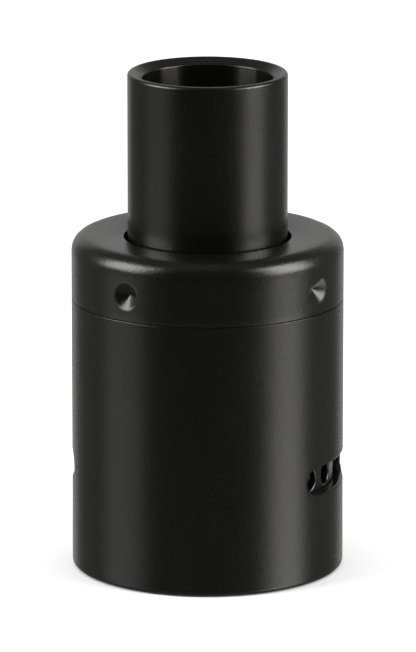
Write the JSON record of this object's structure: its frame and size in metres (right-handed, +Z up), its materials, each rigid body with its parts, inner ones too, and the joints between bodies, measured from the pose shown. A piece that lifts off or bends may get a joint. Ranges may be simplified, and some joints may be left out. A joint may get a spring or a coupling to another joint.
{
  "type": "rebuildable dripping atomizer",
  "caption": "Short black cylinder with a wide open mouthpiece, a turning top cap, low side air slots, a post deck with coils inside and a threaded connector below.",
  "frame": {"origin": "centre of the deck's bottom face, at the root of the threaded connector", "axes": "+Z up along the body's axis to the mouthpiece; the two air slots face +X and -X; the negative post stands at +Y and the positive post at -Y"},
  "size_m": [0.022, 0.022, 0.0456],
  "materials": {
    "black_coating": "fine bead-blasted semi-gloss black",
    "stainless_steel": "turned stainless steel",
    "gold_plated_brass": "bright gold plate",
    "peek": "tan engineering plastic",
    "black_rubber": "satin",
    "resistance_wire": "drawn wire",
    "cotton": "white fibre"
  },
  "bodies": {
    "deck": {"deck_base": "stainless_steel", "negative_post": "stainless_steel", "negative_post_screw": "stainless_steel", "positive_post": "gold_plated_brass", "post_insulator": "peek", "coil_left": "resistance_wire", "coil_right": "resistance_wire", "wick_left": "cotton", "wick_right": "cotton"},
    "deck_seals": {"deck_o_ring_lower": "black_rubber", "deck_o_ring_upper": "black_rubber"},
    "sleeve": {"air_sleeve": "black_coating"},
    "cap_seal": {"cap_o_ring": "black_rubber"},
    "cap": {"top_cap": "black_coating"},
    "tip_seals": {"tip_o_ring_lower": "black_rubber", "tip_o_ring_upper": "black_rubber"},
    "tip": {"drip_tip": "black_coating"},
    "negative_clamp": {"negative_clamp": "stainless_steel"},
    "positive_clamp": {"positive_clamp": "stainless_steel"},
    "negative_screw_right": {"negative_clamp_screw_right": "stainless_steel"},
    "negative_screw_left": {"negative_clamp_screw_left": "stainless_steel"},
    "positive_screw_right": {"positive_clamp_screw_right": "stainless_steel"},
    "positive_screw_left": {"positive_clamp_screw_left": "stainless_steel"},
    "pin_bush": {"pin_insulator": "peek"},
    "pin": {"contact_pin": "gold_plated_brass"}
  },
  "joints": [
    {"name": "barrel_turn", "type": "hinge", "parent": "deck", "child": "deck_seals", "pos_m": [0, 0, 0], "axis": [0, 0, 1], "continuous": true},
    {"name": "barrel_lift", "type": "slide", "parent": "deck_seals", "child": "sleeve", "axis": [0, 0, 1], "range_m": [0, 0.016]},
    {"name": "cap_lift", "type": "slide", "parent": "sleeve", "child": "cap_seal", "axis": [0, 0, 1], "range_m": [0, 0.018]},
    {"name": "cap_turn", "type": "hinge", "parent": "cap_seal", "child": "cap", "pos_m": [0, 0, 0], "axis": [0, 0, 1], "continuous": true},
    {"name": "drip_tip_pull", "type": "slide", "parent": "cap", "child": "tip_seals", "axis": [0, 0, 1], "range_m": [0, 0.007]},
    {"name": "drip_tip_turn", "type": "hinge", "parent": "tip_seals", "child": "tip", "pos_m": [0, 0, 0], "axis": [0, 0, 1], "continuous": true},
    {"name": "negative_clamp_lift", "type": "slide", "parent": "deck", "child": "negative_clamp", "axis": [0, 0, 1], "range_m": [0, 0.0008]},
    {"name": "negative_screw_right_turn", "type": "hinge", "parent": "negative_clamp", "child": "negative_screw_right", "pos_m": [0.0022, 0.0043, 0], "axis": [0, 0, 1], "range_deg": [0, 720]},
    {"name": "negative_screw_left_turn", "type": "hinge", "parent": "negative_clamp", "child": "negative_screw_left", "pos_m": [-0.0022, 0.0043, 0], "axis": [0, 0, 1], "range_deg": [0, 720]},
    {"name": "positive_clamp_lift", "type": "slide", "parent": "deck", "child": "positive_clamp", "axis": [0, 0, 1], "range_m": [0, 0.0008]},
    {"name": "positive_screw_right_turn", "type": "hinge", "parent": "positive_clamp", "child": "positive_screw_right", "pos_m": [0.0022, -0.0043, 0], "axis": [0, 0, 1], "range_deg": [0, 720]},
    {"name": "positive_screw_left_turn", "type": "hinge", "parent": "positive_clamp", "child": "positive_screw_left", "pos_m": [-0.0022, -0.0043, 0], "axis": [0, 0, 1], "range_deg": [0, 720]},
    {"name": "contact_pin_slide", "type": "slide", "parent": "deck", "child": "pin_bush", "axis": [0, 0, -1], "range_m": [0, 0.0008]},
    {"name": "contact_pin_turn", "type": "hinge", "parent": "pin_bush", "child": "pin", "pos_m": [0, 0, 0], "axis": [0, 0, -1], "range_deg": [0, 720]}
  ],
  "couplings": [
    {"joint": "negative_screw_right_turn", "follows": "negative_clamp_lift", "rad_per_m": 15708},
    {"joint": "negative_screw_left_turn", "follows": "negative_clamp_lift", "rad_per_m": 15708},
    {"joint": "positive_screw_right_turn", "follows": "positive_clamp_lift", "rad_per_m": 15708},
    {"joint": "positive_screw_left_turn", "follows": "positive_clamp_lift", "rad_per_m": 15708},
    {"joint": "contact_pin_turn", "follows": "contact_pin_slide", "rad_per_m": 15708}
  ]
}
